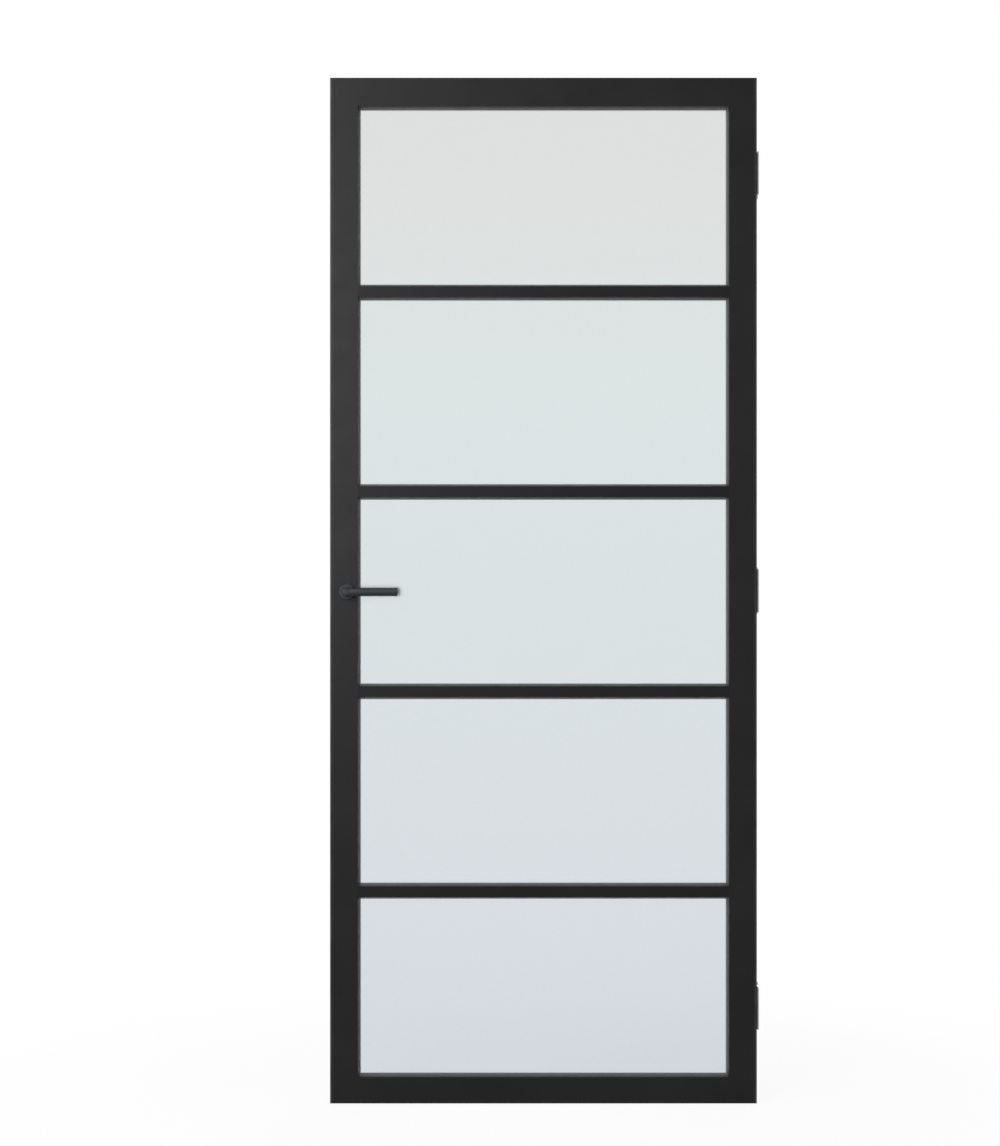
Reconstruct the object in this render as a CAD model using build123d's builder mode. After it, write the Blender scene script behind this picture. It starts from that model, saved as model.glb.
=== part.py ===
from build123d import *
import os
from math import atan2, cos, degrees, radians, sqrt, tan

# An interior glass door leaf, in millimetres. X runs along the width, Y through the thickness
# from the front to the back, and Z up. The origin is the middle of the leaf's underside.
# The lock stile is at -X. The hinges are at +X and their knuckles stand behind the back face.

# Leaf
leaf_width = 880.0
leaf_height = 2115.0
leaf_thickness = 40.0
edge_round = 2.0
stile_face = 57.0
top_rail_face = 58.5
bottom_rail_face = 54.0
bar_face = 22.0
bar_pitch = 412.5
bar_count = 4

# Edge round each pane: a bevel on the front, a short land, and a rebate behind it
bevel_width = 5.0
bevel_land = 2.0
rebate_depth = 10.0

# Glass, its seal and the beads that hold it
glass_thickness = 4.0
glass_arris = 0.5
seal_lip = 1.0
seal_base = 2.0
seal_setback = 1.5
seal_gap = 0.3
bead_gap = 0.2
mitre_gap = 0.2
mitre_angle = 45.0

# Dowels in the timber joints
dowel_radius = 6.0
dowel_gap = 0.05
dowel_reach_share = 0.85
dowel_height_shares = (0.28, 0.72)
bar_dowel_length = 40.0
bar_dowel_wall = 1.0
bar_dowel_web_share = 2 / 3

# Lever set
handle_height = 1055.0
lever_turn = 40.0
rod_radius = 8.5
rod_length = 106.0
rod_reach = 44.0
rod_bend = 16.0
rod_tip_round = 1.0
collar_radius = 10.0
collar_proud = 6.0
collar_stand = 1.0
collar_round = 1.0
collar_play = 0.3
rosette_radius = 16.5
rosette_height = 8.0
rosette_wall = 1.3
rosette_round = 2.0
rosette_base_height = 5.0
rosette_base_gap = 0.2
rosette_screw_radius = 1.1
rosette_screw_head = 2.0
rosette_screw_floor = 2.2
spindle_size = 8.0
spindle_play = 0.05
socket_depth = 28.0
socket_end_gap = 1.0
spindle_hole_radius = 9.0
grub_radius = 2.4
grub_recess = 0.5
grub_gap = 0.05

# Lock
lock_margin = 17.0
forend_width = 20.0
forend_height = 160.0
forend_thickness = 3.0
forend_screw_inset = 12.0
forend_screw_radius = 2.0
forend_screw_head = 4.0
forend_screw_length = 28.0
lock_play = 0.2
case_height = 90.0
case_thickness = 15.0
case_wall = 1.5
case_back_gap = 2.5
post_radius = 2.0
post_inset = 5.0
post_gap = 0.05
follower_radius = 9.0
boss_radius = 7.0
boss_play = 0.05
follower_side_gap = 0.3
arm_reach = 18.0
arm_width = 4.0
arm_thickness = 7.0
return_lug_reach = 16.0

# Latch, which lies flush with the forend until a magnet in the strike draws it out
latch_throw = 11.0
latch_height = 18.0
latch_thickness = 9.0
latch_rise = 24.0
latch_round = 1.0
latch_play = 0.3
tail_height = 6.0
tail_thickness = 4.0
lug_width = 3.4
lug_overlap = 4.0
collar_plate = 2.0
collar_plate_height = 10.0
magnet_radius = 3.5
magnet_depth = 4.0
magnet_gap = 0.05

# Guides and springs in the lock case
guide_wall = 1.5
latch_spring_room = 7.5
guide_rim = 2.4
spring_stop_distance = 23.0
spring_stop_height = 12.0
latch_spring_radius = 4.3
latch_spring_wire = 0.35
latch_spring_turns = 6
return_spring_radius = 3.0
return_spring_wire = 0.4
return_spring_turns = 8
spring_seat_gap = 0.2

# Hinges
hinge_height = 89.0
hinge_inset = 195.0
hinge_gap = 2.0
plate_thickness = 2.5
plate_setback = 2.5
plate_corner = 6.0
plate_play = 0.2
knuckle_radius = 6.5
knuckle_standoff = 7.5
knuckle_count = 5
knuckle_play = 0.3
bearing_thickness = 2.0
pin_radius = 3.5
pin_play = 0.05
pin_cap_height = 4.0
pin_cap_round = 2.5
plate_hole_across = 18.0
plate_hole_up = 58.0
plate_hole_radius = 2.3
plate_sink_radius = 4.1
hinge_screw_radius = 2.0
hinge_screw_length = 30.0
screw_fit = 0.05
screw_tip_share = 0.2
recess_width_share = 0.3
recess_length_share = 1.1
recess_depth_share = 0.35
sink_angle = 90.0

# Cuts run this far past a face
overrun = 1.0

# Worked out from the sizes above: planes of the leaf
half_width = leaf_width / 2
half_thickness = leaf_thickness / 2
front = -half_thickness
back = half_thickness
seat_back = glass_thickness / 2 + seal_lip
seat_front = -seat_back
bevel_end = seat_front - bevel_land
bevel_depth = bevel_end - front
bevel_angle = degrees(atan2(bevel_width, bevel_depth))
stile_sight = stile_face + bevel_width
stile_core = stile_sight - rebate_depth
core_half = half_width - stile_core
sight_half = half_width - stile_sight
bottom_sight = bottom_rail_face + bevel_width
top_sight = leaf_height - top_rail_face - bevel_width
bar_sight = bar_face / 2 + bevel_width
bar_web = bar_sight - rebate_depth
glazed_middle = (bottom_sight + top_sight) / 2
bar_heights = [glazed_middle + (i - (bar_count - 1) / 2) * bar_pitch for i in range(bar_count)]
pane_bottoms = [bottom_sight] + [height + bar_sight for height in bar_heights]
pane_tops = [height - bar_sight for height in bar_heights] + [top_sight]

# Worked out: the lever's axis and the lock, by their distance in from the leaf's lock edge
backset = stile_core - lock_margin
lever_x = -half_width + backset
case_end = stile_core - case_back_gap
case_depth = case_end - forend_thickness
case_half = case_thickness / 2
cover_y = case_half - case_wall
arm_tilt = lever_turn / 2
arm_half_span = arm_width / 2 / cos(radians(arm_tilt))
lug_low = arm_reach - lug_overlap
lug_start = backset + arm_reach * tan(radians(arm_tilt)) + arm_half_span
lug_face = lug_start + latch_play
guide_start = lug_face - collar_plate - latch_throw - latch_spring_room - guide_wall
spring_stop_start = backset - spring_stop_distance
spring_drop = (follower_radius + return_lug_reach) / 2 + return_spring_wire
spindle_end = half_thickness + socket_depth - socket_end_gap
rosette_screw_ring = (collar_radius + collar_play + rosette_radius - rosette_wall) / 2
rosette_screw_bite = half_thickness - case_half - lock_play - rosette_screw_floor

# Worked out: the hinges
hinge_x = half_width + hinge_gap / 2
hinge_y = back + knuckle_standoff
door_plate_x = half_width - plate_thickness
frame_plate_x = half_width + hinge_gap
plate_width = leaf_thickness - plate_setback
plate_y = back - plate_width / 2
knuckle_pitch = hinge_height / knuckle_count
hinge_heights = {
    "bottom": hinge_inset,
    "middle": leaf_height / 2,
    "top": leaf_height - hinge_inset,
}

# Planes: the lock edge looking into and out of the leaf, the lever axis looking out of the front
lock_plane = Plane((-half_width, 0, handle_height), x_dir=(0, 1, 0), z_dir=(1, 0, 0))
lock_face = Plane((-half_width, 0, handle_height), x_dir=(0, 1, 0), z_dir=(-1, 0, 0))
lever_plane = Plane((lever_x, 0, handle_height), x_dir=(1, 0, 0), z_dir=(0, -1, 0))

os.makedirs("parts", exist_ok=True)


def keep(piece, name):
    """Labels a finished piece and writes it to a file of its own."""
    piece.part.label = name
    export_step(piece.part, f"parts/{name}.step")


def edge_plane(distance, rise=0.0):
    """A plane across the leaf's width, this far in from the lock edge and above the lever axis."""
    origin = (-half_width + distance, 0, handle_height + rise)
    return Plane(origin, x_dir=(0, 1, 0), z_dir=(1, 0, 0))


def countersunk_screw(head_radius, shank_radius, length):
    """A screw with its head's top at the origin and its point down the Z axis."""
    head_depth = head_radius - shank_radius
    tip = length * screw_tip_share
    recess_width = head_radius * recess_width_share
    recess_length = head_radius * recess_length_share
    recess_depth = head_radius * recess_depth_share
    with BuildPart() as screw:
        with BuildSketch(Plane.XZ):
            with BuildLine():
                Polyline(
                    (0, 0),
                    (head_radius, 0),
                    (shank_radius, -head_depth),
                    (shank_radius, tip - length),
                    (0, -length),
                    close=True,
                )
            make_face()
        revolve(axis=Axis.Z)
        with BuildSketch(Plane.XY):
            Rectangle(recess_length, recess_width)
            Rectangle(recess_width, recess_length)
        extrude(amount=-recess_depth, mode=Mode.SUBTRACT)
    return screw.part


def coil(radius, wire, turns, start, length):
    """A coil spring along X from a start point."""
    with BuildPart() as spring:
        with BuildLine() as path:
            Helix(length / turns, length, radius, center=start, direction=(1, 0, 0))
        with BuildSketch(Plane(path.line @ 0, z_dir=path.line % 0)):
            Circle(wire)
        sweep(is_frenet=True)
    return spring


# Dowels, and the same shapes a little larger for their holes
def corner_dowels(grow):
    """Two dowels across each corner joint of the frame."""
    bottom_core = bottom_sight - rebate_depth
    top_core = leaf_height - top_sight - rebate_depth
    heights = [bottom_core * share for share in dowel_height_shares]
    heights += [leaf_height - top_core * share for share in dowel_height_shares]
    with BuildPart() as dowels:
        for side in (-1, 1):
            for height in heights:
                with Locations(Location((side * core_half, 0, height), (0, 90, 0))):
                    Cylinder(dowel_radius + grow, 2 * (stile_core * dowel_reach_share + grow))
    return dowels


def bar_dowel_set(grow):
    """One dowel in each end of each glazing bar, behind the lock and short of the lever's hole."""
    reach = lock_margin - spindle_hole_radius - bar_dowel_wall
    middle_x = core_half + reach - bar_dowel_length / 2
    middle_y = (case_half + lock_play + back) / 2
    with BuildPart() as dowels:
        for side in (-1, 1):
            for height in bar_heights:
                with Locations(Location((side * middle_x, middle_y, height), (0, 90, 0))):
                    Cylinder(bar_web * bar_dowel_web_share + grow, bar_dowel_length + 2 * grow)
    return dowels


frame_dowels = corner_dowels(0)
corner_holes = corner_dowels(dowel_gap)
bar_dowels = bar_dowel_set(0)
bar_holes = bar_dowel_set(dowel_gap)


# Timber sections
def stile_points(side):
    """Corners of a stile's section: side is -1 for the lock stile and 1 for the hinge stile."""
    return [
        (side * half_width, front),
        (side * (half_width - stile_face), front),
        (side * sight_half, bevel_end),
        (side * sight_half, seat_front),
        (side * core_half, seat_front),
        (side * core_half, back),
        (side * half_width, back),
    ]


def rail_points(edge, inward, face):
    """Corners of a rail's section: edge is its outer height, inward is 1 or -1."""
    sight = edge + inward * (face + bevel_width)
    core = sight - inward * rebate_depth
    return [
        (front, edge),
        (front, edge + inward * face),
        (bevel_end, sight),
        (seat_front, sight),
        (seat_front, core),
        (back, core),
        (back, edge),
    ]


def bar_points(height):
    """Corners of a glazing bar's section: bevelled cap in front, slim web behind."""
    return [
        (front, height + bar_face / 2),
        (bevel_end, height + bar_sight),
        (seat_front, height + bar_sight),
        (seat_front, height + bar_web),
        (back, height + bar_web),
        (back, height - bar_web),
        (seat_front, height - bar_web),
        (seat_front, height - bar_sight),
        (bevel_end, height - bar_sight),
        (front, height - bar_face / 2),
    ]


def ease_outer_edges():
    """Trims a piece to the leaf's outline, with its outer edges rounded."""
    with BuildSketch(Plane.XY) as plan:
        RectangleRounded(leaf_width, leaf_thickness, edge_round)
    extrude(plan.sketch, amount=leaf_height, mode=Mode.INTERSECT)
    with BuildSketch(Plane.YZ) as side_view:
        with Locations((0, leaf_height / 2)):
            RectangleRounded(leaf_thickness, leaf_height, edge_round)
    extrude(side_view.sketch, amount=half_width, both=True, mode=Mode.INTERSECT)


def hinge_plate_face(start, height, grow=0.0):
    """A hinge plate's outline, standing across X at start, with its two front corners rounded."""
    with BuildSketch(Plane.YZ.offset(start)) as outline:
        with Locations((plate_y, height)):
            Rectangle(plate_width + 2 * grow, hinge_height + 2 * grow)
        fillet(outline.vertices().group_by(Axis.X)[0], plate_corner + grow)
    return outline.sketch


def hinge_edge_plane(height):
    """The leaf's hinge edge at the middle of a hinge plate, looking outwards."""
    return Plane((half_width, plate_y, height), x_dir=(0, 1, 0), z_dir=(1, 0, 0))


# Lock stile: forend recess, lock mortise, spindle hole and screw holes
with BuildPart() as lock_stile:
    with BuildSketch(Plane.XY):
        with BuildLine():
            Polyline(*stile_points(-1), close=True)
        make_face()
    extrude(amount=leaf_height)
    ease_outer_edges()
    with BuildSketch(lock_plane):
        SlotOverall(forend_height + 2 * lock_play, forend_width + 2 * lock_play, rotation=90)
    extrude(amount=forend_thickness, mode=Mode.SUBTRACT)
    with BuildSketch(edge_plane(forend_thickness)):
        Rectangle(case_thickness + 2 * lock_play, case_height + 2 * lock_play)
    extrude(amount=case_depth + lock_play, mode=Mode.SUBTRACT)
    with BuildSketch(lock_plane):
        with GridLocations(0, forend_height - 2 * forend_screw_inset, 1, 2):
            Circle(forend_screw_radius + screw_fit)
    extrude(amount=forend_screw_length + screw_fit, mode=Mode.SUBTRACT)
    with BuildSketch(lever_plane):
        Circle(spindle_hole_radius)
    extrude(amount=half_thickness, both=True, mode=Mode.SUBTRACT)
    for face_plane, inward in (
        (lever_plane.offset(half_thickness), -1),
        (lever_plane.offset(-half_thickness), 1),
    ):
        with BuildSketch(face_plane):
            with GridLocations(0, 2 * rosette_screw_ring, 1, 2):
                Circle(rosette_screw_radius + screw_fit)
        extrude(amount=inward * (rosette_screw_bite + screw_fit), mode=Mode.SUBTRACT)
    add(corner_holes.part, mode=Mode.SUBTRACT)
    add(bar_holes.part, mode=Mode.SUBTRACT)
keep(lock_stile, "lock_stile")

# Hinge stile: a recess and screw holes for each hinge plate
with BuildPart() as hinge_stile:
    with BuildSketch(Plane.XY):
        with BuildLine():
            Polyline(*stile_points(1), close=True)
        make_face()
    extrude(amount=leaf_height)
    ease_outer_edges()
    for height in hinge_heights.values():
        recess = hinge_plate_face(door_plate_x, height, plate_play)
        extrude(recess, amount=plate_thickness, mode=Mode.SUBTRACT)
        with BuildSketch(hinge_edge_plane(height)):
            with GridLocations(plate_hole_across, plate_hole_up, 2, 2):
                Circle(hinge_screw_radius + screw_fit)
        extrude(amount=-(hinge_screw_length + screw_fit), mode=Mode.SUBTRACT)
    add(corner_holes.part, mode=Mode.SUBTRACT)
    add(bar_holes.part, mode=Mode.SUBTRACT)
keep(hinge_stile, "hinge_stile")

# Rails and bars run between the stiles and are scribed over their bevels
with BuildPart() as top_rail:
    with BuildSketch(Plane.YZ):
        with BuildLine():
            Polyline(*rail_points(leaf_height, -1, top_rail_face), close=True)
        make_face()
    extrude(amount=core_half, both=True)
    ease_outer_edges()
    add([lock_stile.part, hinge_stile.part, corner_holes.part], mode=Mode.SUBTRACT)
keep(top_rail, "top_rail")

with BuildPart() as bottom_rail:
    with BuildSketch(Plane.YZ):
        with BuildLine():
            Polyline(*rail_points(0, 1, bottom_rail_face), close=True)
        make_face()
    extrude(amount=core_half, both=True)
    ease_outer_edges()
    add([lock_stile.part, hinge_stile.part, corner_holes.part], mode=Mode.SUBTRACT)
keep(bottom_rail, "bottom_rail")

for number, height in enumerate(bar_heights, start=1):
    with BuildPart() as glazing_bar:
        with BuildSketch(Plane.YZ):
            with BuildLine():
                Polyline(*bar_points(height), close=True)
            make_face()
        extrude(amount=core_half, both=True)
        add([lock_stile.part, hinge_stile.part, bar_holes.part], mode=Mode.SUBTRACT)
    keep(glazing_bar, f"glazing_bar_{number}")

keep(frame_dowels, "frame_dowels")
keep(bar_dowels, "bar_dowels")

# Panes, from the bottom up: glass in a seal of U section, with four mitred beads behind it
for number, (bottom, top) in enumerate(zip(pane_bottoms, pane_tops), start=1):
    middle = (bottom + top) / 2
    sight_width = 2 * sight_half
    sight_height = top - bottom
    seal_width = sight_width + 2 * (rebate_depth - seal_gap)
    seal_height = sight_height + 2 * (rebate_depth - seal_gap)
    glass_width = seal_width - 2 * seal_base
    glass_height = seal_height - 2 * seal_base
    pane_plane = Plane((0, 0, middle), x_dir=(1, 0, 0), z_dir=(0, 1, 0))

    with BuildPart() as glass_pane:
        with BuildSketch(pane_plane):
            Rectangle(glass_width, glass_height)
        extrude(amount=glass_thickness / 2, both=True)
        chamfer(glass_pane.faces().filter_by(Axis.Y).edges(), glass_arris)
    keep(glass_pane, f"glass_pane_{number}")

    with BuildPart() as glazing_seal:
        with BuildSketch(pane_plane):
            Rectangle(seal_width, seal_height)
            Rectangle(
                sight_width + 2 * seal_setback, sight_height + 2 * seal_setback, mode=Mode.SUBTRACT
            )
        extrude(amount=seat_back, both=True)
        with BuildSketch(pane_plane):
            Rectangle(glass_width, glass_height)
        extrude(amount=glass_thickness / 2, both=True, mode=Mode.SUBTRACT)
    keep(glazing_seal, f"glazing_seal_{number}")

    with BuildPart() as glazing_beads:
        with BuildSketch(pane_plane.offset(seat_back)):
            Rectangle(
                sight_width + 2 * (rebate_depth - bead_gap),
                sight_height + 2 * (rebate_depth - bead_gap),
            )
            Rectangle(sight_width, sight_height, mode=Mode.SUBTRACT)
        extrude(amount=back - seat_back)
        with BuildSketch(pane_plane.offset(seat_back + bevel_land)):
            Rectangle(sight_width, sight_height)
        extrude(amount=bevel_depth, taper=-bevel_angle, mode=Mode.SUBTRACT)
        for side in (-1, 1):
            for end in (-1, 1):
                corner = Location(
                    (
                        side * (sight_width + rebate_depth) / 2,
                        (seat_back + back) / 2,
                        middle + end * (sight_height + rebate_depth) / 2,
                    ),
                    (0, -side * end * mitre_angle, 0),
                )
                with Locations(corner):
                    Box(2 * sqrt(2) * rebate_depth, leaf_thickness, mitre_gap, mode=Mode.SUBTRACT)
    keep(glazing_beads, f"glazing_beads_{number}")

# Rosette, with a base screwed to the stile under its cap
with BuildPart() as rosette_front:
    with BuildSketch(lever_plane.offset(half_thickness)):
        Circle(rosette_radius)
    extrude(amount=rosette_height)
    fillet(rosette_front.faces().sort_by(Axis.Y)[0].edges(), rosette_round)
    with BuildSketch(lever_plane.offset(half_thickness)):
        Circle(rosette_radius - rosette_wall)
    extrude(amount=rosette_height - rosette_wall, mode=Mode.SUBTRACT)
    with BuildSketch(lever_plane.offset(half_thickness)):
        Circle(collar_radius + collar_play)
    extrude(amount=rosette_height, mode=Mode.SUBTRACT)
keep(rosette_front, "rosette_front")

with BuildPart() as rosette_base_front:
    with BuildSketch(lever_plane.offset(half_thickness)):
        Circle(rosette_radius - rosette_wall - rosette_base_gap)
        Circle(collar_radius + collar_play, mode=Mode.SUBTRACT)
    extrude(amount=rosette_base_height)
    with Locations(lever_plane.offset(half_thickness + rosette_base_height)):
        with GridLocations(0, 2 * rosette_screw_ring, 1, 2):
            CounterSinkHole(
                rosette_screw_radius + screw_fit,
                rosette_screw_head + screw_fit,
                counter_sink_angle=sink_angle,
            )
keep(rosette_base_front, "rosette_base_front")

with BuildPart() as rosette_back:
    mirror(rosette_front.part, about=Plane.XZ)
keep(rosette_back, "rosette_back")

with BuildPart() as rosette_base_back:
    mirror(rosette_base_front.part, about=Plane.XZ)
keep(rosette_base_back, "rosette_base_back")

rosette_screw = countersunk_screw(
    rosette_screw_head, rosette_screw_radius, rosette_base_height + rosette_screw_bite
)
with BuildPart() as rosette_screws:
    with Locations(lever_plane.offset(half_thickness + rosette_base_height)):
        with GridLocations(0, 2 * rosette_screw_ring, 1, 2):
            add(rosette_screw)
    mirror(about=Plane.XZ)
keep(rosette_screws, "rosette_screws")

# Lever: a round rod bent out of a collar, with a square socket for the spindle
collar_start = half_thickness + collar_stand
collar_end = half_thickness + rosette_height + collar_proud
rod_y = -(half_thickness + rod_reach)
grub_y = -(collar_end - collar_proud / 2)
with BuildPart() as lever_front:
    with BuildLine() as rod_line:
        FilletPolyline(
            (lever_x, -collar_start, handle_height),
            (lever_x, rod_y, handle_height),
            (lever_x + rod_length, rod_y, handle_height),
            radius=rod_bend,
        )
    with BuildSketch(lever_plane.offset(collar_start)):
        Circle(rod_radius)
    sweep()
    fillet(lever_front.faces().sort_by(Axis.X)[-1].edges(), rod_tip_round)
    with BuildSketch(lever_plane.offset(collar_start)):
        Circle(collar_radius)
    extrude(amount=collar_end - collar_start)
    fillet(
        lever_front.edges().filter_by(GeomType.CIRCLE).filter_by(
            lambda edge: edge.radius > rod_radius and edge.center().Y < -half_thickness - rosette_height
        ),
        collar_round,
    )
    with BuildSketch(lever_plane.offset(collar_start)):
        Rectangle(spindle_size + 2 * spindle_play, spindle_size + 2 * spindle_play)
    extrude(amount=half_thickness + socket_depth - collar_start, mode=Mode.SUBTRACT)
    with BuildSketch(Plane((lever_x, grub_y, handle_height), z_dir=(0, 0, -1))):
        Circle(grub_radius + grub_gap)
    extrude(amount=collar_radius + overrun, mode=Mode.SUBTRACT)
keep(lever_front, "lever_front")

with BuildPart() as lever_back:
    mirror(lever_front.part, about=Plane.XZ)
keep(lever_back, "lever_back")

with BuildPart() as spindle:
    with BuildSketch(lever_plane):
        Rectangle(spindle_size, spindle_size)
    extrude(amount=spindle_end, both=True)
keep(spindle, "spindle")

grub_seat = Plane((lever_x, grub_y, handle_height - spindle_size / 2 - grub_gap), z_dir=(0, 0, -1))
with BuildPart() as lever_grub_screws:
    with BuildSketch(grub_seat):
        Circle(grub_radius)
    extrude(amount=collar_radius - spindle_size / 2 - grub_recess)
    mirror(about=Plane.XZ)
keep(lever_grub_screws, "lever_grub_screws")

# Follower: a hub on the spindle with an arm for the latch above and a lug for its spring below
with BuildPart() as follower:
    with BuildSketch(lever_plane):
        Circle(boss_radius)
    extrude(amount=case_half, both=True)
    with BuildSketch(lever_plane):
        Circle(follower_radius)
    extrude(amount=cover_y - follower_side_gap, both=True)
    with Locations(Location((lever_x, 0, handle_height), (0, -arm_tilt, 0))):
        Box(arm_width, arm_thickness, arm_reach, align=(Align.CENTER, Align.CENTER, Align.MIN))
        Box(arm_width, arm_thickness, return_lug_reach, align=(Align.CENTER, Align.CENTER, Align.MAX))
    with BuildSketch(lever_plane):
        Rectangle(spindle_size + 2 * spindle_play, spindle_size + 2 * spindle_play)
    extrude(amount=case_half, both=True, mode=Mode.SUBTRACT)
keep(follower, "follower")

# Latch bolt: head in the forend, tail behind it, and at the tail's end a collar and a lug
head_end = guide_start - latch_play
tail_end = lug_face + lug_width
with BuildPart() as latch_bolt:
    with BuildSketch(edge_plane(0, latch_rise)):
        Rectangle(latch_thickness, latch_height)
    extrude(amount=head_end)
    fillet(latch_bolt.faces().sort_by(Axis.X)[0].edges(), latch_round)
    with BuildSketch(edge_plane(0, latch_rise)):
        Circle(magnet_radius + magnet_gap)
    extrude(amount=magnet_depth, mode=Mode.SUBTRACT)
    with BuildSketch(edge_plane(head_end, latch_rise)):
        Rectangle(tail_thickness, tail_height)
    extrude(amount=tail_end - head_end)
    with BuildSketch(edge_plane(lug_face - collar_plate, latch_rise)):
        Rectangle(latch_thickness, collar_plate_height)
    extrude(amount=collar_plate)
    with BuildSketch(edge_plane(lug_face, (latch_rise + lug_low) / 2)):
        Rectangle(tail_thickness, latch_rise - lug_low)
    extrude(amount=lug_width)
keep(latch_bolt, "latch_bolt")

with BuildPart() as latch_magnet:
    with BuildSketch(edge_plane(0, latch_rise)):
        Circle(magnet_radius)
    extrude(amount=magnet_depth)
keep(latch_magnet, "latch_magnet")

# Lock case: a tray with posts for its cover, a guide for the latch tail and a spring stop
post_x = (case_depth - 2 * post_inset) / 2
post_centre = -half_width + (forend_thickness + case_end) / 2
post_plane = Plane((post_centre, 0, handle_height), x_dir=(1, 0, 0), z_dir=(0, 1, 0))
tray_depth = cover_y + case_half
with BuildPart() as lock_case:
    with BuildSketch(post_plane.offset(-case_half)):
        Rectangle(case_depth, case_height)
    extrude(amount=tray_depth)
    with BuildSketch(post_plane.offset(case_wall - case_half)):
        Rectangle(case_depth - 2 * case_wall, case_height - 2 * case_wall)
    extrude(amount=tray_depth, mode=Mode.SUBTRACT)
    with BuildSketch(post_plane.offset(-case_half)):
        with GridLocations(2 * post_x, case_height - 2 * post_inset, 2, 2):
            Circle(post_radius)
    extrude(amount=case_thickness)
    with BuildSketch(edge_plane(guide_start, latch_rise)):
        Rectangle(2 * cover_y, tail_height + 2 * guide_rim)
        Rectangle(tail_thickness + 2 * latch_play, tail_height + 2 * latch_play, mode=Mode.SUBTRACT)
    extrude(amount=guide_wall)
    with BuildSketch(edge_plane(spring_stop_start, -spring_drop)):
        Rectangle(2 * cover_y, spring_stop_height)
    extrude(amount=guide_wall)
    with BuildSketch(edge_plane(forend_thickness, latch_rise)):
        Rectangle(latch_thickness + 2 * latch_play, latch_height + 2 * latch_play)
    extrude(amount=case_wall, mode=Mode.SUBTRACT)
    with BuildSketch(lever_plane):
        Circle(boss_radius + boss_play)
    extrude(amount=case_half, mode=Mode.SUBTRACT)
keep(lock_case, "lock_case")

with BuildPart() as lock_cover:
    with BuildSketch(post_plane.offset(cover_y)):
        Rectangle(case_depth, case_height)
        with GridLocations(2 * post_x, case_height - 2 * post_inset, 2, 2):
            Circle(post_radius + post_gap, mode=Mode.SUBTRACT)
    extrude(amount=case_wall)
    with BuildSketch(lever_plane):
        Circle(boss_radius + boss_play)
    extrude(amount=-case_half, mode=Mode.SUBTRACT)
keep(lock_cover, "lock_cover")

with BuildPart() as lock_forend:
    with BuildSketch(lock_plane):
        SlotOverall(forend_height, forend_width, rotation=90)
        with Locations((0, latch_rise)):
            Rectangle(
                latch_thickness + 2 * latch_play, latch_height + 2 * latch_play, mode=Mode.SUBTRACT
            )
    extrude(amount=forend_thickness)
    with Locations(lock_face):
        with GridLocations(0, forend_height - 2 * forend_screw_inset, 1, 2):
            CounterSinkHole(
                forend_screw_radius + screw_fit,
                forend_screw_head + screw_fit,
                counter_sink_angle=sink_angle,
            )
keep(lock_forend, "lock_forend")

forend_screw = countersunk_screw(forend_screw_head, forend_screw_radius, forend_screw_length)
with BuildPart() as forend_screws:
    with Locations(lock_face):
        with GridLocations(0, forend_height - 2 * forend_screw_inset, 1, 2):
            add(forend_screw)
keep(forend_screws, "forend_screws")

# Springs, as they lie at rest
latch_spring_start = guide_start + guide_wall + latch_spring_wire + spring_seat_gap
latch_spring_end = lug_face - collar_plate - latch_spring_wire - spring_seat_gap
latch_spring = coil(
    latch_spring_radius,
    latch_spring_wire,
    latch_spring_turns,
    (-half_width + latch_spring_start, 0, handle_height + latch_rise),
    latch_spring_end - latch_spring_start,
)
keep(latch_spring, "latch_spring")

spring_top = spring_drop - return_spring_radius - return_spring_wire
return_lug_face = backset + spring_top * tan(radians(arm_tilt)) - arm_half_span
return_spring_start = spring_stop_start + guide_wall + return_spring_wire + spring_seat_gap
return_spring_end = return_lug_face - return_spring_wire - spring_seat_gap
lever_return_spring = coil(
    return_spring_radius,
    return_spring_wire,
    return_spring_turns,
    (-half_width + return_spring_start, 0, handle_height - spring_drop),
    return_spring_end - return_spring_start,
)
keep(lever_return_spring, "lever_return_spring")


# Hinges: knuckles are numbered from the bottom, even ones on the frame plate, odd on the door plate
def knuckle_span(index):
    """Bottom and top of a knuckle above the hinge's lower end."""
    bottom = index * knuckle_pitch
    if index % 2:
        bottom += bearing_thickness + knuckle_play
    elif index:
        bottom += knuckle_play
    return bottom, (index + 1) * knuckle_pitch


def add_knuckles(plate_start, base, first):
    """Every second knuckle of a hinge, each on a tongue of its plate, with the pin's bore."""
    for index in range(first, knuckle_count, 2):
        bottom, top = knuckle_span(index)
        with BuildSketch(Plane.XY.offset(base + bottom)) as knuckle:
            with Locations((hinge_x, hinge_y)):
                Circle(knuckle_radius)
            with Locations((plate_start + plate_thickness / 2, back + knuckle_standoff / 2)):
                Rectangle(plate_thickness, knuckle_standoff)
        extrude(knuckle.sketch, amount=top - bottom)
    with BuildSketch(Plane.XY.offset(base)) as bore:
        with Locations((hinge_x, hinge_y)):
            Circle(pin_radius + pin_play)
    extrude(bore.sketch, amount=hinge_height, mode=Mode.SUBTRACT)


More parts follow.
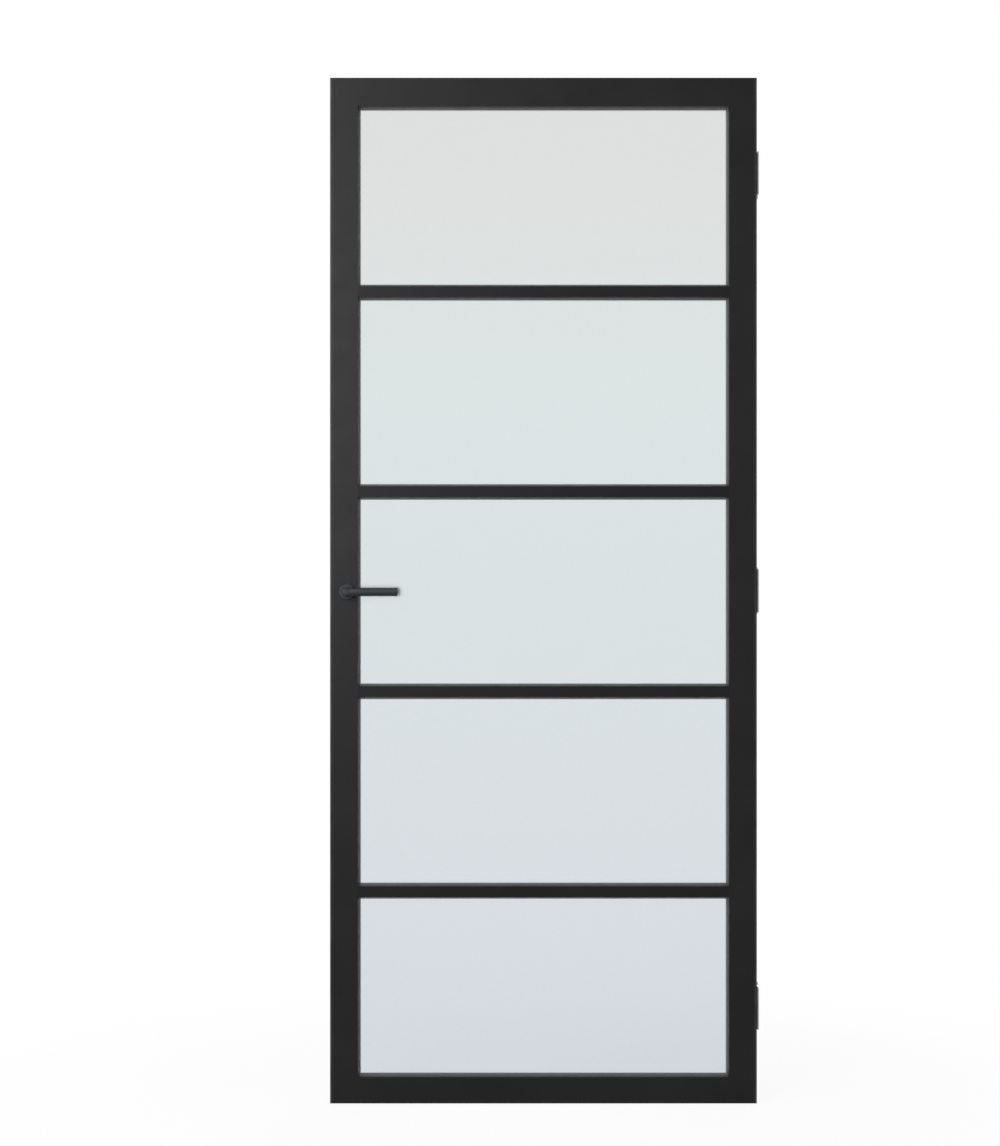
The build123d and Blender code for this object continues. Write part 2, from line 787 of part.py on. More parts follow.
hinge_screw = countersunk_screw(plate_sink_radius - screw_fit, hinge_screw_radius, hinge_screw_length)
for name, height in hinge_heights.items():
    base = height - hinge_height / 2

    with BuildPart() as hinge_door_plate:
        extrude(hinge_plate_face(door_plate_x, height), amount=plate_thickness)
        add_knuckles(door_plate_x, base, first=1)
        with Locations(hinge_edge_plane(height)):
            with GridLocations(plate_hole_across, plate_hole_up, 2, 2):
                CounterSinkHole(
                    hinge_screw_radius + screw_fit, plate_sink_radius, counter_sink_angle=sink_angle
                )
    keep(hinge_door_plate, f"hinge_door_plate_{name}")

    with BuildPart() as hinge_frame_plate:
        extrude(hinge_plate_face(frame_plate_x, height), amount=plate_thickness)
        add_knuckles(frame_plate_x, base, first=0)
        with Locations(Plane((frame_plate_x, plate_y, height), x_dir=(0, 1, 0), z_dir=(-1, 0, 0))):
            with GridLocations(plate_hole_across, plate_hole_up, 2, 2):
                CounterSinkHole(plate_hole_radius, plate_sink_radius, counter_sink_angle=sink_angle)
    keep(hinge_frame_plate, f"hinge_frame_plate_{name}")

    with BuildPart() as hinge_pin:
        with BuildSketch(Plane.XY.offset(base)):
            with Locations((hinge_x, hinge_y)):
                Circle(pin_radius)
        extrude(amount=hinge_height)
        for cap_base, cap_way in ((base, -1), (base + hinge_height, 1)):
            with BuildSketch(Plane.XY.offset(cap_base)):
                with Locations((hinge_x, hinge_y)):
                    Circle(knuckle_radius)
            extrude(amount=cap_way * pin_cap_height)
        fillet(hinge_pin.faces().sort_by(Axis.Z)[0].edges(), pin_cap_round)
        fillet(hinge_pin.faces().sort_by(Axis.Z)[-1].edges(), pin_cap_round)
    keep(hinge_pin, f"hinge_pin_{name}")

with BuildPart() as hinge_bearings:
    for height in hinge_heights.values():
        for index in range(0, knuckle_count - 1, 2):
            seat = height - hinge_height / 2 + knuckle_span(index)[1]
            with BuildSketch(Plane.XY.offset(seat)):
                with Locations((hinge_x, hinge_y)):
                    Circle(knuckle_radius)
                    Circle(pin_radius + pin_play, mode=Mode.SUBTRACT)
            extrude(amount=bearing_thickness)
keep(hinge_bearings, "hinge_bearings")

with BuildPart() as hinge_screws:
    for height in hinge_heights.values():
        with Locations(hinge_edge_plane(height)):
            with GridLocations(plate_hole_across, plate_hole_up, 2, 2):
                add(hinge_screw)
keep(hinge_screws, "hinge_screws")
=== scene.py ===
import math

import bpy
from bpy.props import FloatProperty, FloatVectorProperty, IntProperty, PointerProperty
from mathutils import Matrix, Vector


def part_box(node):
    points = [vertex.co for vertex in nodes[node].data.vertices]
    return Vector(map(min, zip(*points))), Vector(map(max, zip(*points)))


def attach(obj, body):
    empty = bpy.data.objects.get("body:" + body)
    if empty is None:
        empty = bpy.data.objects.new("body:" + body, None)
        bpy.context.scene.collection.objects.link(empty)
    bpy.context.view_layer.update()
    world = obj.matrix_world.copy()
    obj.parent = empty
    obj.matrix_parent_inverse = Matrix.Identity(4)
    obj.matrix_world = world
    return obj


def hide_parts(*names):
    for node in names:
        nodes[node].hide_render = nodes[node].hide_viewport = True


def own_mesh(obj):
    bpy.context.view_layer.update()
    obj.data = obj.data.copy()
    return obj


bl_info = {
    "name": "Satin Glass Door",
    "version": (1, 0, 0),
    "blender": (4, 5, 0),
    "location": "3D View > Sidebar > Door",
    "description": "Finishes an interior door leaf with satin glass, and sets it in a white studio",
    "category": "Object",
}

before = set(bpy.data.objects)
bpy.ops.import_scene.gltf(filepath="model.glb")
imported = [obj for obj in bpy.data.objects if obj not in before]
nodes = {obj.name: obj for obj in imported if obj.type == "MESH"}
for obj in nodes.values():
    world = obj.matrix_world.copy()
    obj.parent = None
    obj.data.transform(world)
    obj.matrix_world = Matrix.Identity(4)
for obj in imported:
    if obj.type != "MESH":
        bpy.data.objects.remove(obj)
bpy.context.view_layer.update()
leaf_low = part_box("lock_stile")[0]
leaf_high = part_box("hinge_stile")[1]
leaf_middle = (leaf_low + leaf_high) / 2
leaf_half = (leaf_high - leaf_low) / 2
glass_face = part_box("glass_pane_1")[1].y
pane_numbers = range(1, 6)
bar_numbers = range(1, 5)
hinge_names = ("bottom", "middle", "top")


# Settings that a user would change


class LacquerSettings(bpy.types.PropertyGroup):
    """Lacquer on the leaf's frame"""

    black: FloatVectorProperty(
        name="Black",
        description="Colour of the lacquer on the leaf's frame",
        subtype="COLOR",
        min=0.0,
        max=1.0,
        default=(0.0060, 0.0055, 0.0056),
    )
    bloom: FloatVectorProperty(
        name="Bloom",
        description="Slightly greyer black in the faint clouds of the spray coat",
        subtype="COLOR",
        min=0.0,
        max=1.0,
        default=(0.0084, 0.0078, 0.0079),
    )
    # Painted highlight: a lighter grey laid on the bevels beside the glass, standing in for the light
    # they catch
    bevel_highlight_grey: FloatVectorProperty(
        name="Rubbed Bevel",
        description="Grey of the lacquer where a bevel is rubbed thin beside the glass",
        subtype="COLOR",
        min=0.0,
        max=1.0,
        default=(0.170, 0.170, 0.172),
    )
    # Painted highlight: a lighter grey laid in uneven patches along the upright edges of the leaf,
    # standing in for the light that the rounded edges catch
    edge_highlight_grey: FloatVectorProperty(
        name="Worn Edge",
        description="Grey of the lacquer where hands wear the upright edges of the leaf",
        subtype="COLOR",
        min=0.0,
        max=1.0,
        default=(0.050, 0.049, 0.049),
    )
    gloss: FloatProperty(
        name="Gloss",
        description="Specular level of the lacquer on the stiles, rails and beads",
        subtype="FACTOR",
        min=0.0,
        max=1.0,
        default=0.155,
    )
    bar_gloss: FloatProperty(
        name="Bar Gloss",
        description="Specular level of the lacquer on the glazing bars, which is a little more matt",
        subtype="FACTOR",
        min=0.0,
        max=1.0,
        default=0.125,
    )
    roughness: FloatProperty(
        name="Roughness",
        description="How satin the lacquer is",
        subtype="FACTOR",
        min=0.0,
        max=1.0,
        default=0.38,
    )
    peel_size: FloatProperty(
        name="Peel Size",
        description="Width of the dimples that the spray leaves",
        unit="LENGTH",
        subtype="DISTANCE",
        default=0.0016,
    )
    peel_depth: FloatProperty(
        name="Peel Depth",
        description="Depth of the dimples that the spray leaves",
        unit="LENGTH",
        subtype="DISTANCE",
        precision=6,
        default=0.00005,
    )


class GlassSettings(bpy.types.PropertyGroup):
    """Satin glass of the panes"""

    top_tint: FloatVectorProperty(
        name="Top Tint",
        description="Tint of the satin glass at the top of the leaf",
        subtype="COLOR",
        min=0.0,
        max=1.0,
        default=(0.737, 0.753, 0.745),
    )
    middle_tint: FloatVectorProperty(
        name="Middle Tint",
        description="Tint of the satin glass above the lever",
        subtype="COLOR",
        min=0.0,
        max=1.0,
        default=(0.729, 0.786, 0.786),
    )
    bottom_tint: FloatVectorProperty(
        name="Bottom Tint",
        description="Tint of the satin glass at the foot of the leaf",
        subtype="COLOR",
        min=0.0,
        max=1.0,
        default=(0.705, 0.747, 0.792),
    )
    roughness: FloatProperty(
        name="Roughness",
        description="How much the etched face scatters what is behind it",
        subtype="FACTOR",
        min=0.0,
        max=1.0,
        default=0.30,
    )
    etch_size: FloatProperty(
        name="Etch Size",
        description="Width of the pits that the acid leaves in the face",
        unit="LENGTH",
        subtype="DISTANCE",
        default=0.0009,
    )


class FittingSettings(bpy.types.PropertyGroup):
    """Coats and metals of the fittings"""

    handle_black: FloatVectorProperty(
        name="Handle Black",
        description="Powder coat on the levers and rosettes",
        subtype="COLOR",
        min=0.0,
        max=1.0,
        default=(0.0120, 0.0146, 0.0166),
    )
    steel: FloatVectorProperty(
        name="Satin Steel",
        description="Brushed stainless steel of the hinges, forend and latch",
        subtype="COLOR",
        min=0.0,
        max=1.0,
        default=(0.43, 0.425, 0.415),
    )
    plating: FloatVectorProperty(
        name="Zinc Plating",
        description="Plated steel of the lock case, spindle and small screws",
        subtype="COLOR",
        min=0.0,
        max=1.0,
        default=(0.53, 0.54, 0.54),
    )
    wire: FloatVectorProperty(
        name="Spring Wire",
        description="Bright drawn wire of the two springs",
        subtype="COLOR",
        min=0.0,
        max=1.0,
        default=(0.43, 0.43, 0.44),
    )


class BradSettings(bpy.types.PropertyGroup):
    """Brads in the glazing beads"""

    spacing: FloatProperty(
        name="Spacing",
        description="Distance between the brads along a glazing bead",
        unit="LENGTH",
        subtype="DISTANCE",
        default=0.125,
    )
    corner_gap: FloatProperty(
        name="Corner Gap",
        description="Distance of the outer brads from the bead's mitre",
        unit="LENGTH",
        subtype="DISTANCE",
        default=0.045,
    )
    edge_gap: FloatProperty(
        name="Edge Gap",
        description="Distance of the brads from the bead's outer edge",
        unit="LENGTH",
        subtype="DISTANCE",
        precision=5,
        default=0.0026,
    )
    head_radius: FloatProperty(
        name="Head Radius",
        description="Radius of a brad's head",
        unit="LENGTH",
        subtype="DISTANCE",
        precision=5,
        default=0.0009,
    )
    head_rise: FloatProperty(
        name="Head Rise",
        description="How far a lacquered head stands off the bead",
        unit="LENGTH",
        subtype="DISTANCE",
        precision=5,
        default=0.0002,
    )


class SpringSettings(bpy.types.PropertyGroup):
    """Springs in the lock"""

    facets: IntProperty(
        name="Facets",
        description="Straight pieces in each turn of a spring",
        min=12,
        default=28,
    )
    latch_turns: FloatProperty(
        name="Latch Turns",
        description="Turns of the latch spring",
        min=1.0,
        default=6.0,
    )
    latch_wire: FloatProperty(
        name="Latch Wire",
        description="Radius of the latch spring's wire",
        unit="LENGTH",
        subtype="DISTANCE",
        precision=5,
        default=0.00035,
    )
    return_turns: FloatProperty(
        name="Return Turns",
        description="Turns of the lever's return spring",
        min=1.0,
        default=8.0,
    )
    return_wire: FloatProperty(
        name="Return Wire",
        description="Radius of the return spring's wire",
        unit="LENGTH",
        subtype="DISTANCE",
        precision=5,
        default=0.0004,
    )


class StudioSettings(bpy.types.PropertyGroup):
    """Camera and lights"""

    camera_place: FloatVectorProperty(
        name="Camera Place",
        description="Where the camera stands, square to the leaf",
        subtype="XYZ",
        unit="LENGTH",
        default=(-0.0896, -5.02, 1.0938),
    )
    lens: FloatProperty(
        name="Lens",
        description="Focal length of the camera in millimetres",
        unit="CAMERA",
        default=76.2,
    )
    key_power: FloatProperty(
        name="Key Light",
        description="Power of the large soft light at the upper left",
        unit="POWER",
        default=64.0,
    )
    fill_power: FloatProperty(
        name="Fill Light",
        description="Power of the soft light at the right",
        unit="POWER",
        default=6.0,
    )
    top_power: FloatProperty(
        name="Top Light",
        description="Power of the soft light above the lever",
        unit="POWER",
        default=20.0,
    )
    side_power: FloatProperty(
        name="Side Light",
        description="Power of the large light that skims the leaf from the left",
        unit="POWER",
        default=32.0,
    )
    back_power: FloatProperty(
        name="Back Light",
        description="Power of the soft light behind the leaf",
        unit="POWER",
        default=40.0,
    )
    room_light: FloatProperty(
        name="Room Light",
        description="Strength of the even light from all round",
        min=0.0,
        default=0.32,
    )
    room_tint: FloatVectorProperty(
        name="Room Tint",
        description="Tint of the even light from all round",
        subtype="COLOR",
        min=0.0,
        max=1.0,
        default=(0.97, 0.985, 1.0),
    )


# Steps that several finishes share


def start_finish(name):
    """Starts a material: gives it, its node tree, its shader and the piece's own coordinates."""
    finish = bpy.data.materials.new(name)
    finish.use_nodes = True
    tree = finish.node_tree
    shader = tree.nodes["Principled BSDF"]
    place = tree.nodes.new("ShaderNodeTexCoord").outputs["Object"]
    return finish, tree, shader, place


def grain(tree, place, size, stretch=(1.0, 1.0, 1.0), detail=2.0):
    """A noise pattern with features of a size in metres, drawn out along an axis by its stretch."""
    turned = tree.nodes.new("ShaderNodeMapping")
    turned.inputs["Scale"].default_value = [1.0 / share for share in stretch]
    noise = tree.nodes.new("ShaderNodeTexNoise")
    noise.inputs["Scale"].default_value = 1.0 / size
    noise.inputs["Detail"].default_value = detail
    tree.links.new(place, turned.inputs["Vector"])
    tree.links.new(turned.outputs["Vector"], noise.inputs["Vector"])
    return noise.outputs["Fac"]


def spread(tree, pattern, low, high):
    """Maps the usual span of a noise pattern, 0.3 to 0.7, onto a range of numbers."""
    span = tree.nodes.new("ShaderNodeMapRange")
    span.inputs["From Min"].default_value = 0.3
    span.inputs["From Max"].default_value = 0.7
    span.inputs["To Min"].default_value = low
    span.inputs["To Max"].default_value = high
    tree.links.new(pattern, span.inputs["Value"])
    return span.outputs["Result"]


def rise(tree, value, start, end):
    """Rises from 0 to 1 as a value goes from a start to an end."""
    span = tree.nodes.new("ShaderNodeMapRange")
    span.inputs["From Min"].default_value = start
    span.inputs["From Max"].default_value = end
    tree.links.new(value, span.inputs["Value"])
    return span.outputs["Result"]


def times(tree, first, second):
    """The product of two values."""
    product = tree.nodes.new("ShaderNodeMath")
    product.operation = "MULTIPLY"
    tree.links.new(first, product.inputs[0])
    tree.links.new(second, product.inputs[1])
    return product.outputs["Value"]


def cover(tree, under, colour, share):
    """Lays a colour over what is under it, by a share of 0 to 1."""
    mix = tree.nodes.new("ShaderNodeMix")
    mix.data_type = "RGBA"
    mix.inputs["B"].default_value = (*colour, 1.0)
    tree.links.new(share, mix.inputs["Factor"])
    tree.links.new(under, mix.inputs["A"])
    return mix.outputs["Result"]


def blend_colours(tree, pattern, stops):
    """Colours along a pattern, from (place, colour) stops."""
    ramp = tree.nodes.new("ShaderNodeValToRGB")
    marks = ramp.color_ramp.elements
    while len(marks) < len(stops):
        marks.new(0.5)
    for mark, (position, colour) in zip(marks, stops):
        mark.position = position
        mark.color = (*colour, 1.0)
    tree.links.new(pattern, ramp.inputs["Fac"])
    return ramp.outputs["Color"]


def shade(colour, share):
    """A colour made darker or lighter by a share."""
    return [channel * share for channel in colour]


def raise_relief(tree, shader, pattern, depth):
    """Raises a pattern off the surface by a depth in metres."""
    bump = tree.nodes.new("ShaderNodeBump")
    bump.inputs["Strength"].default_value = 1.0
    bump.inputs["Distance"].default_value = depth
    tree.links.new(pattern, bump.inputs["Height"])
    tree.links.new(bump.outputs["Normal"], shader.inputs["Normal"])


def make_grained(
    name, size, colours, roughness, depth=None, stretch=(1.0, 1.0, 1.0), detail=2.0, metallic=0.0
):
    """A finish whose colour and roughness follow one grain, and its relief too if it has a depth."""
    finish, tree, shader, place = start_finish(name)
    pattern = grain(tree, place, size, stretch, detail)
    tree.links.new(blend_colours(tree, pattern, colours), shader.inputs["Base Color"])
    tree.links.new(spread(tree, pattern, *roughness), shader.inputs["Roughness"])
    if depth:
        raise_relief(tree, shader, pattern, depth)
    shader.inputs["Metallic"].default_value = metallic
    return finish


def dress(names, finish):
    """Gives the CAD pieces a finish in place of their plain one."""
    for name in names:
        for slot in nodes[name].material_slots:
            slot.material = finish


def numbered(name):
    """The names of a piece that every pane has."""
    return [f"{name}_{number}" for number in pane_numbers]


def hinge_pieces(*parts):
    """The names of pieces that every hinge has."""
    return [f"hinge_{part}_{name}" for part in parts for name in hinge_names]


# Finishes


def leaf_distances(tree, place):
    """Distances from the middle of the leaf along X, Y and Z, the same on either side of it."""
    shift = tree.nodes.new("ShaderNodeVectorMath")
    shift.operation = "SUBTRACT"
    shift.inputs[1].default_value = leaf_middle
    even = tree.nodes.new("ShaderNodeVectorMath")
    even.operation = "ABSOLUTE"
    parts = tree.nodes.new("ShaderNodeSeparateXYZ")
    tree.links.new(place, shift.inputs[0])
    tree.links.new(shift.outputs["Vector"], even.inputs[0])
    tree.links.new(even.outputs["Vector"], parts.inputs["Vector"])
    return [parts.outputs[axis] for axis in "XYZ"]


def bevel_highlight_share(tree, across, deep, high):
    """Mask of the painted highlight on the bevels: rises from 0 at the leaf's faces to 1 beside the
    glass, and is 0 round the leaf's edges.
    """
    arris = 0.0002
    rim_inside, rim_outside = 0.010, 0.009
    share = rise(tree, deep, leaf_half.y - arris, glass_face)
    for distance, reach in ((across, leaf_half.x), (high, leaf_half.z)):
        share = times(tree, share, rise(tree, distance, reach - rim_outside, reach - rim_inside))
    return share


def edge_highlight_share(tree, place, across, deep):
    """Mask of the painted highlight on the upright edges: rises to 1 at the upright edges of the leaf's
    two faces, in uneven patches.
    """
    faint, full = 0.006, 0.001
    corner = times(
        tree,
        rise(tree, across, leaf_half.x - faint, leaf_half.x - full),
        rise(tree, deep, leaf_half.y - faint, leaf_half.y - full),
    )
    patches = spread(tree, grain(tree, place, size=0.05, detail=3.0), low=0.4, high=1.0)
    return times(tree, corner, patches)


def make_black_lacquer(name, settings, gloss):
    """Sprayed satin lacquer: faint clouds in the black, a painted highlight of lighter grey on the
    bevels and along the upright edges, spray dimples.
    """
    finish, tree, shader, place = start_finish(name)
    across, deep, high = leaf_distances(tree, place)
    clouds = grain(tree, place, size=0.16, detail=3.0)
    colour = blend_colours(tree, clouds, [(0.35, settings.black), (0.70, settings.bloom)])
    # Painted highlight: lighter grey on the bevels beside the glass
    colour = cover(tree, colour, settings.bevel_highlight_grey, bevel_highlight_share(tree, across, deep, high))
    # Painted highlight: lighter grey in uneven patches along the upright edges
    colour = cover(tree, colour, settings.edge_highlight_grey, edge_highlight_share(tree, place, across, deep))
    tree.links.new(colour, shader.inputs["Base Color"])
    patches = grain(tree, place, size=0.035, detail=3.0)
    smoothest, roughest = settings.roughness - 0.03, settings.roughness + 0.04
    tree.links.new(spread(tree, patches, smoothest, roughest), shader.inputs["Roughness"])
    dimples = grain(tree, place, settings.peel_size, detail=1.0)
    raise_relief(tree, shader, dimples, settings.peel_depth)
    shader.inputs["Specular IOR Level"].default_value = gloss
    return finish


def make_satin_glass(settings):
    """Etched glass: its tint cools towards the foot, and fine pits scatter what is behind it."""
    finish, tree, shader, place = start_finish("satin_glass_etched")
    parts = tree.nodes.new("ShaderNodeSeparateXYZ")
    tree.links.new(place, parts.inputs["Vector"])
    height = rise(tree, parts.outputs["Z"], leaf_low.z, leaf_high.z)
    tints = [(0.12, settings.bottom_tint), (0.70, settings.middle_tint), (0.92, settings.top_tint)]
    tree.links.new(blend_colours(tree, height, tints), shader.inputs["Base Color"])
    pits = grain(tree, place, settings.etch_size, detail=1.0)
    clearest, haziest = settings.roughness - 0.03, settings.roughness + 0.03
    tree.links.new(spread(tree, pits, clearest, haziest), shader.inputs["Roughness"])
    pit_depth = settings.etch_size * 0.02
    raise_relief(tree, shader, pits, pit_depth)
    shader.inputs["Transmission Weight"].default_value = 1.0
    shader.inputs["IOR"].default_value = 1.35
    return finish


def make_seal_rubber():
    """Matt rubber with a fine bloom of dust."""
    return make_grained(
        "seal_rubber_matt",
        size=0.002,
        colours=[(0.35, (0.012, 0.012, 0.012)), (0.75, (0.026, 0.026, 0.025))],
        roughness=(0.70, 0.86),
        depth=0.00004,
        detail=3.0,
    )


def make_dowel_beech():
    """Bare beech with its grain along the dowel."""
    return make_grained(
        "dowel_beech_bare",
        size=0.0012,
        colours=[(0.30, (0.46, 0.27, 0.14)), (0.72, (0.66, 0.46, 0.28))],
        roughness=(0.58, 0.74),
        depth=0.00008,
        stretch=(18.0, 1.0, 1.0),
        detail=4.0,
    )


def make_handle_black(settings):
    """Fine-textured powder coat, a little smoother in patches."""
    finish, tree, shader, place = start_finish("black_handle_powder_coat")
    specks = grain(tree, place, size=0.0006, detail=2.0)
    patches = grain(tree, place, size=0.02, detail=3.0)
    colours = [(0.35, settings.handle_black), (0.75, shade(settings.handle_black, 1.45))]
    tree.links.new(blend_colours(tree, specks, colours), shader.inputs["Base Color"])
    tree.links.new(spread(tree, patches, low=0.36, high=0.46), shader.inputs["Roughness"])
    raise_relief(tree, shader, specks, depth=0.00002)
    shader.inputs["Specular IOR Level"].default_value = 0.22
    return finish


def make_satin_steel(settings):
    """Stainless steel brushed along its height."""
    finish = make_grained(
        "satin_steel_brushed",
        size=0.0005,
        colours=[(0.30, shade(settings.steel, 0.84)), (0.70, settings.steel)],
        roughness=(0.27, 0.42),
        depth=0.000012,
        stretch=(1.0, 1.0, 60.0),
        detail=3.0,
        metallic=1.0,
    )
    shader = finish.node_tree.nodes["Principled BSDF"]
    shader.inputs["Anisotropic"].default_value = 0.35
    return finish


def make_plated_steel(settings):
    """Zinc plating, with its patches of slightly warmer and cooler grey."""
    finish, tree, shader, place = start_finish("plated_steel_zinc")
    patches = grain(tree, place, size=0.006, detail=3.0)
    specks = grain(tree, place, size=0.0008, detail=2.0)
    warmth = (1.04, 0.98, 0.90)
    warm = [channel * share for channel, share in zip(settings.plating, warmth)]
    colour = blend_colours(tree, patches, [(0.35, settings.plating), (0.68, warm)])
    tree.links.new(colour, shader.inputs["Base Color"])
    tree.links.new(spread(tree, patches, low=0.30, high=0.44), shader.inputs["Roughness"])
    raise_relief(tree, shader, specks, depth=0.00001)
    shader.inputs["Metallic"].default_value = 1.0
    return finish


def make_spring_wire(settings):
    """Bright drawn wire with fine draw marks round its coils."""
    return make_grained(
        "spring_steel_drawn",
        size=0.0003,
        colours=[(0.30, shade(settings.wire, 0.72)), (0.70, settings.wire)],
        roughness=(0.24, 0.38),
        stretch=(1.0, 4.0, 4.0),
        metallic=1.0,
    )


def make_moulded_plastic():
    """Dark moulded plastic with a spark-eroded grain."""
    return make_grained(
        "base_plastic_moulded",
        size=0.0005,
        colours=[(0.35, (0.008, 0.008, 0.009)), (0.72, (0.016, 0.016, 0.017))],
        roughness=(0.50, 0.64),
        depth=0.00003,
    )


def make_nickel():
    """Nickel plating, lightly scuffed along the way that the strike passes it."""
    return make_grained(
        "magnet_nickel_plated",
        size=0.0012,
        colours=[(0.35, (0.58, 0.56, 0.52)), (0.70, (0.68, 0.66, 0.62))],
        roughness=(0.14, 0.34),
        stretch=(1.0, 6.0, 1.0),
        detail=4.0,
        metallic=1.0,
    )


# Steps that the repeated pieces share


def start_tree(name, inputs):
    """Starts a node tree with named inputs: gives it, its input node and its output node."""
    tree = bpy.data.node_groups.new(name, "GeometryNodeTree")
    tree.interface.new_socket("Geometry", in_out="INPUT", socket_type="NodeSocketGeometry")
    for label, kind in inputs:
        tree.interface.new_socket(label, in_out="INPUT", socket_type=kind)
    tree.interface.new_socket("Geometry", in_out="OUTPUT", socket_type="NodeSocketGeometry")
    return tree, tree.nodes.new("NodeGroupInput"), tree.nodes.new("NodeGroupOutput")


def end_tree(tree, given, out, geometry):
    """Ends a tree: smooth shading, real geometry in place of instances, and the finish."""
    smooth = tree.nodes.new("GeometryNodeSetShadeSmooth")
    real = tree.nodes.new("GeometryNodeRealizeInstances")
    finish = tree.nodes.new("GeometryNodeSetMaterial")
    tree.links.new(geometry, real.inputs["Geometry"])
    tree.links.new(real.outputs["Geometry"], smooth.inputs["Geometry"])
    tree.links.new(smooth.outputs["Geometry"], finish.inputs["Geometry"])
    tree.links.new(given.outputs["Finish"], finish.inputs["Material"])
    tree.links.new(finish.outputs["Geometry"], out.inputs["Geometry"])


def run_tree(name, tree, start, values):
    """Runs a tree on a starting mesh and keeps the result as a plain mesh."""
    piece = bpy.data.objects.new(name, start)
    bpy.context.scene.collection.objects.link(piece)
    modifier = piece.modifiers.new(tree.name, "NODES")
    modifier.node_group = tree
    for item in tree.interface.items_tree:
        if item.in_out == "INPUT" and item.name in values:
            modifier[item.identifier] = values[item.name]
    evaluated = piece.evaluated_get(bpy.context.evaluated_depsgraph_get())
    made = bpy.data.meshes.new_from_object(evaluated)
    piece.modifiers.remove(modifier)
    piece.data = made
    made.name = name
    if not made.polygons:
        raise RuntimeError(f"{name} came out empty")
    return piece


def plan_brads():
    """A tree that sets brad heads along lines: a low chamfered head at every step."""
    tree, given, out = start_tree(
        "brads_along_beads",
        [
            ("Spacing", "NodeSocketFloat"),
            ("Head Radius", "NodeSocketFloat"),
            ("Head Rise", "NodeSocketFloat"),
            ("Finish", "NodeSocketMaterial"),
        ],
    )
    line = tree.nodes.new("GeometryNodeMeshToCurve")
    steps = tree.nodes.new("GeometryNodeResampleCurve")
    steps.mode = "LENGTH"
    head = tree.nodes.new("GeometryNodeMeshCone")
    head.inputs["Vertices"].default_value = 12
    flat_share = 0.7
    rim = tree.nodes.new("ShaderNodeMath")
    rim.operation = "MULTIPLY"
    rim.inputs[1].default_value = flat_share
    heads = tree.nodes.new("GeometryNodeInstanceOnPoints")
    heads.inputs["Rotation"].default_value = (math.radians(-90.0), 0.0, 0.0)
    tree.links.new(given.outputs["Geometry"], line.inputs["Mesh"])
    tree.links.new(line.outputs["Curve"], steps.inputs["Curve"])
    tree.links.new(given.outputs["Spacing"], steps.inputs["Length"])
    tree.links.new(given.outputs["Head Radius"], head.inputs["Radius Bottom"])
    tree.links.new(given.outputs["Head Radius"], rim.inputs[0])
    tree.links.new(rim.outputs["Value"], head.inputs["Radius Top"])
    tree.links.new(given.outputs["Head Rise"], head.inputs["Depth"])
    tree.links.new(steps.outputs["Curve"], heads.inputs["Points"])
    tree.links.new(head.outputs["Mesh"], heads.inputs["Instance"])
    end_tree(tree, given, out, heads.outputs["Instances"])
    return tree


def plan_spring():
    """A tree that winds a round wire along X from a start point."""
    tree, given, out = start_tree(
        "spring_along_x",
        [
            ("Facets", "NodeSocketInt"),
            ("Turns", "NodeSocketFloat"),
            ("Coil Radius", "NodeSocketFloat"),
            ("Wire Radius", "NodeSocketFloat"),
            ("Length", "NodeSocketFloat"),
            ("Start", "NodeSocketVector"),
            ("Finish", "NodeSocketMaterial"),
        ],
    )
    path = tree.nodes.new("GeometryNodeCurveSpiral")
    laid = tree.nodes.new("GeometryNodeTransform")
    laid.inputs["Rotation"].default_value = (0.0, math.radians(90.0), 0.0)
    section = tree.nodes.new("GeometryNodeCurvePrimitiveCircle")
    section.inputs["Resolution"].default_value = 10
    wire = tree.nodes.new("GeometryNodeCurveToMesh")
    wire.inputs["Fill Caps"].default_value = True
    tree.links.new(given.outputs["Facets"], path.inputs["Resolution"])
    tree.links.new(given.outputs["Turns"], path.inputs["Rotations"])
    tree.links.new(given.outputs["Coil Radius"], path.inputs["Start Radius"])
    tree.links.new(given.outputs["Coil Radius"], path.inputs["End Radius"])
    tree.links.new(given.outputs["Length"], path.inputs["Height"])
    tree.links.new(path.outputs["Curve"], laid.inputs["Geometry"])
    tree.links.new(given.outputs["Start"], laid.inputs["Translation"])
    tree.links.new(given.outputs["Wire Radius"], section.inputs["Radius"])
    tree.links.new(laid.outputs["Geometry"], wire.inputs["Curve"])
    tree.links.new(section.outputs["Curve"], wire.inputs["Profile Curve"])
    end_tree(tree, given, out, wire.outputs["Mesh"])
    return tree


# Pieces and groups of like pieces


class DOOR_OT_lacquer_frame(bpy.types.Operator):
    """Lacquers the stiles, rails, glazing bars and glazing beads"""

    bl_idname = "door.lacquer_frame"
    bl_label = "Lacquer Frame"

    def execute(self, context):
        settings = context.scene.door_lacquer
        finish = make_black_lacquer("black_lacquer_sprayed", settings, settings.gloss)
        dress(["lock_stile", "hinge_stile", "top_rail", "bottom_rail"], finish)
        dress(numbered("glazing_beads"), finish)
        bar_finish = make_black_lacquer("black_lacquer_bars", settings, settings.bar_gloss)
        dress([f"glazing_bar_{number}" for number in bar_numbers], bar_finish)
        return {"FINISHED"}


class DOOR_OT_glaze_panes(bpy.types.Operator):
    """Finishes the five satin panes and their rubber seals"""

    bl_idname = "door.glaze_panes"
    bl_label = "Glaze Panes"

    def execute(self, context):
        dress(numbered("glass_pane"), make_satin_glass(context.scene.door_glass))
        dress(numbered("glazing_seal"), make_seal_rubber())
        return {"FINISHED"}


